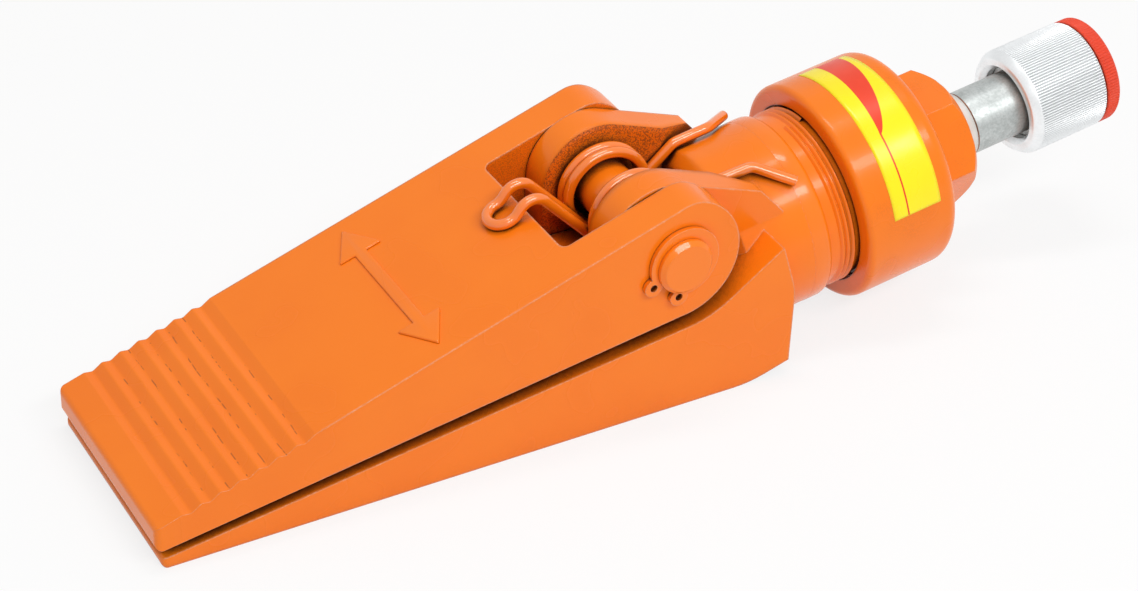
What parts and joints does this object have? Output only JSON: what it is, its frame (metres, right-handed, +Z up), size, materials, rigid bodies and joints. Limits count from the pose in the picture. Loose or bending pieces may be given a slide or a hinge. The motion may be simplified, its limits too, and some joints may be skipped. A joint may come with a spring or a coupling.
{
  "type": "hydraulic wedge spreader ram",
  "caption": "Hydraulic wedge spreader: a ram in the barrel swings the upper jaw open about a pin, a torsion spring closes it, and a hose coupler feeds it.",
  "frame": {"origin": "on the flat underside of the lower jaw, at its tips, on the middle plane", "axes": "+X from the wedge tips to the hose coupler, +Z up from the flat underside, Y along the pivot pin"},
  "size_m": [0.2737, 0.0648, 0.0601],
  "materials": {
    "orange_paint": "gloss enamel over a casting",
    "ground_steel": "ground",
    "zinc_plate": "bright zinc plating",
    "seal_rubber": "matt",
    "white_ring": "smooth",
    "red_plastic": "satin moulded"
  },
  "bodies": {
    "lower_jaw": {"lower_jaw_body": "orange_paint", "pivot_pin": "orange_paint", "retaining_ring_near": "orange_paint", "retaining_ring_far": "orange_paint", "torsion_spring": "orange_paint", "wiper_ring": "seal_rubber", "plunger_seal": "seal_rubber", "backup_ring": "white_ring", "end_cap": "orange_paint", "cap_seal": "seal_rubber", "coupler_body": "zinc_plate", "thread_tape": "white_ring", "spring_retainer": "ground_steel", "check_spring": "ground_steel"},
    "upper_jaw": {"upper_jaw": "orange_paint"},
    "ram": {"plunger": "ground_steel", "wear_band": "white_ring"},
    "ball": {"check_ball": "ground_steel"},
    "sleeve": {"coupler_sleeve": "zinc_plate", "sleeve_ring": "ground_steel"},
    "cap": {"dust_cap": "red_plastic"}
  },
  "joints": [
    {"name": "jaw_pivot", "type": "hinge", "parent": "lower_jaw", "child": "upper_jaw", "pos_m": [0.1278, 0, 0.0422], "axis": [0, 1, 0], "range_deg": [0, 34.38], "stiffness_Nm_per_rad": 5.5, "springref_deg": -17.19, "deforming": ["torsion_spring"]},
    {"name": "ram_slide", "type": "slide", "parent": "lower_jaw", "child": "ram", "axis": [-0.9866, 0, -0.1633], "range_m": [0, 0.01355]},
    {"name": "sleeve_turn", "type": "hinge", "parent": "lower_jaw", "child": "sleeve", "pos_m": [0.25275, 0, 0.03999], "axis": [0.9866, 0, 0.1633], "continuous": true},
    {"name": "dust_cap_pull", "type": "slide", "parent": "sleeve", "child": "cap", "axis": [0.9866, 0, 0.1633], "range_m": [0, 0.012]},
    {"name": "check_ball_lift", "type": "slide", "parent": "lower_jaw", "child": "ball", "axis": [-0.9866, 0, -0.1633], "range_m": [0, 0.002], "stiffness_N_per_m": 800, "springref_m": -0.003, "deforming": ["check_spring"]}
  ],
  "couplings": [
    {"joint": "ram_slide", "follows": "jaw_pivot", "m_per_rad": 0.022589}
  ]
}
